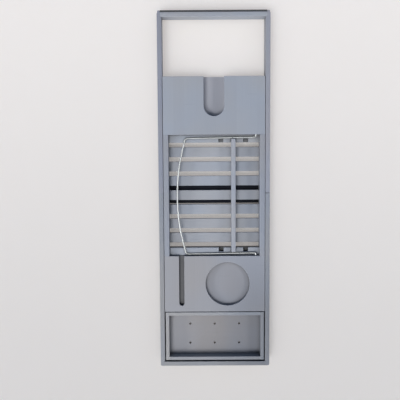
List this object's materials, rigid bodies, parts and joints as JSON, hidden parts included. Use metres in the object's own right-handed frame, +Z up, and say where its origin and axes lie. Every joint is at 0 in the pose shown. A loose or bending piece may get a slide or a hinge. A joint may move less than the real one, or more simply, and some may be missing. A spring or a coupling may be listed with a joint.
{
  "type": "bath caddy",
  "caption": "Extending wooden bath caddy with sliding arms, a slatted rest, a folding wire page rest, glass slot, cup recess, phone groove and lift-out tray.",
  "frame": {"origin": "on the plane that the closed caddy stands on, under the middle of its outline", "axes": "+X along the length towards the tray, +Y across it away from the bather, +Z up"},
  "size_m": [0.7026, 0.22, 0.04],
  "materials": {
    "painted_wood": "satin grey paint over bamboo, faint grain along the length",
    "dark_painted_wood": "dark paint, out of sight under the slats",
    "steel": "polished stainless",
    "silicone": "matt"
  },
  "bodies": {
    "frame": {"rail_near": "painted_wood", "rail_far": "painted_wood", "glass_panel": "painted_wood", "cup_panel": "painted_wood", "glass_floor": "painted_wood", "cup_floor": "painted_wood", "glass_cross_rail": "painted_wood", "cup_cross_rail": "painted_wood", "pocket_cheek_near": "painted_wood", "pocket_cheek_far": "painted_wood", "slat_1": "painted_wood", "slat_2": "painted_wood", "slat_3": "painted_wood", "slat_4": "painted_wood", "slat_5": "painted_wood", "slat_6": "painted_wood", "slat_7": "painted_wood", "notched_strip_glass": "painted_wood", "notched_strip_cup": "painted_wood", "open_travel_stop": "painted_wood", "tray_travel_stop": "painted_wood", "open_travel_stop_screw_near": "steel", "open_travel_stop_screw_far": "steel", "tray_travel_stop_screw_near": "steel", "tray_travel_stop_screw_far": "steel"},
    "open_arm": {"open_leg_near": "painted_wood", "open_leg_far": "painted_wood", "open_end_bar": "painted_wood", "open_crossbar": "dark_painted_wood", "open_crossbar_screw_near": "steel", "open_crossbar_screw_far": "steel", "open_grip_pad_near": "silicone", "open_grip_pad_far": "silicone"},
    "tray_arm": {"tray_leg_near": "painted_wood", "tray_leg_far": "painted_wood", "tray_end_bar": "painted_wood", "tray_crossbar": "dark_painted_wood", "tray_crossbar_screw_near": "steel", "tray_crossbar_screw_far": "steel", "tray_grip_pad_near": "silicone", "tray_grip_pad_far": "silicone", "tray_ledge_near": "painted_wood", "tray_ledge_far": "painted_wood"},
    "tray": {"tray_wall_near": "painted_wood", "tray_wall_far": "painted_wood", "tray_wall_inner": "painted_wood", "tray_wall_outer": "painted_wood", "tray_floor": "painted_wood"},
    "page_rest": {"page_rest_wire": "steel"},
    "ledge": {"ledge_bar": "painted_wood"}
  },
  "joints": [
    {"name": "open_arm_slide", "type": "slide", "parent": "frame", "child": "open_arm", "axis": [-1, 0, 0], "range_m": [0, 0.175]},
    {"name": "tray_arm_slide", "type": "slide", "parent": "frame", "child": "tray_arm", "axis": [1, 0, 0], "range_m": [0, 0.175]},
    {"name": "tray_lift", "type": "slide", "parent": "tray_arm", "child": "tray", "axis": [0, 0, 1], "range_m": [0, 0.06]},
    {"name": "page_rest_fold", "type": "hinge", "parent": "frame", "child": "page_rest", "pos_m": [0.00525, 0.0826, 0.0342], "axis": [-1, 0, 0], "range_deg": [0, 130]},
    {"name": "ledge_bar_lift", "type": "slide", "parent": "frame", "child": "ledge", "axis": [0, 0, 1], "range_m": [0, 0.03]}
  ]
}
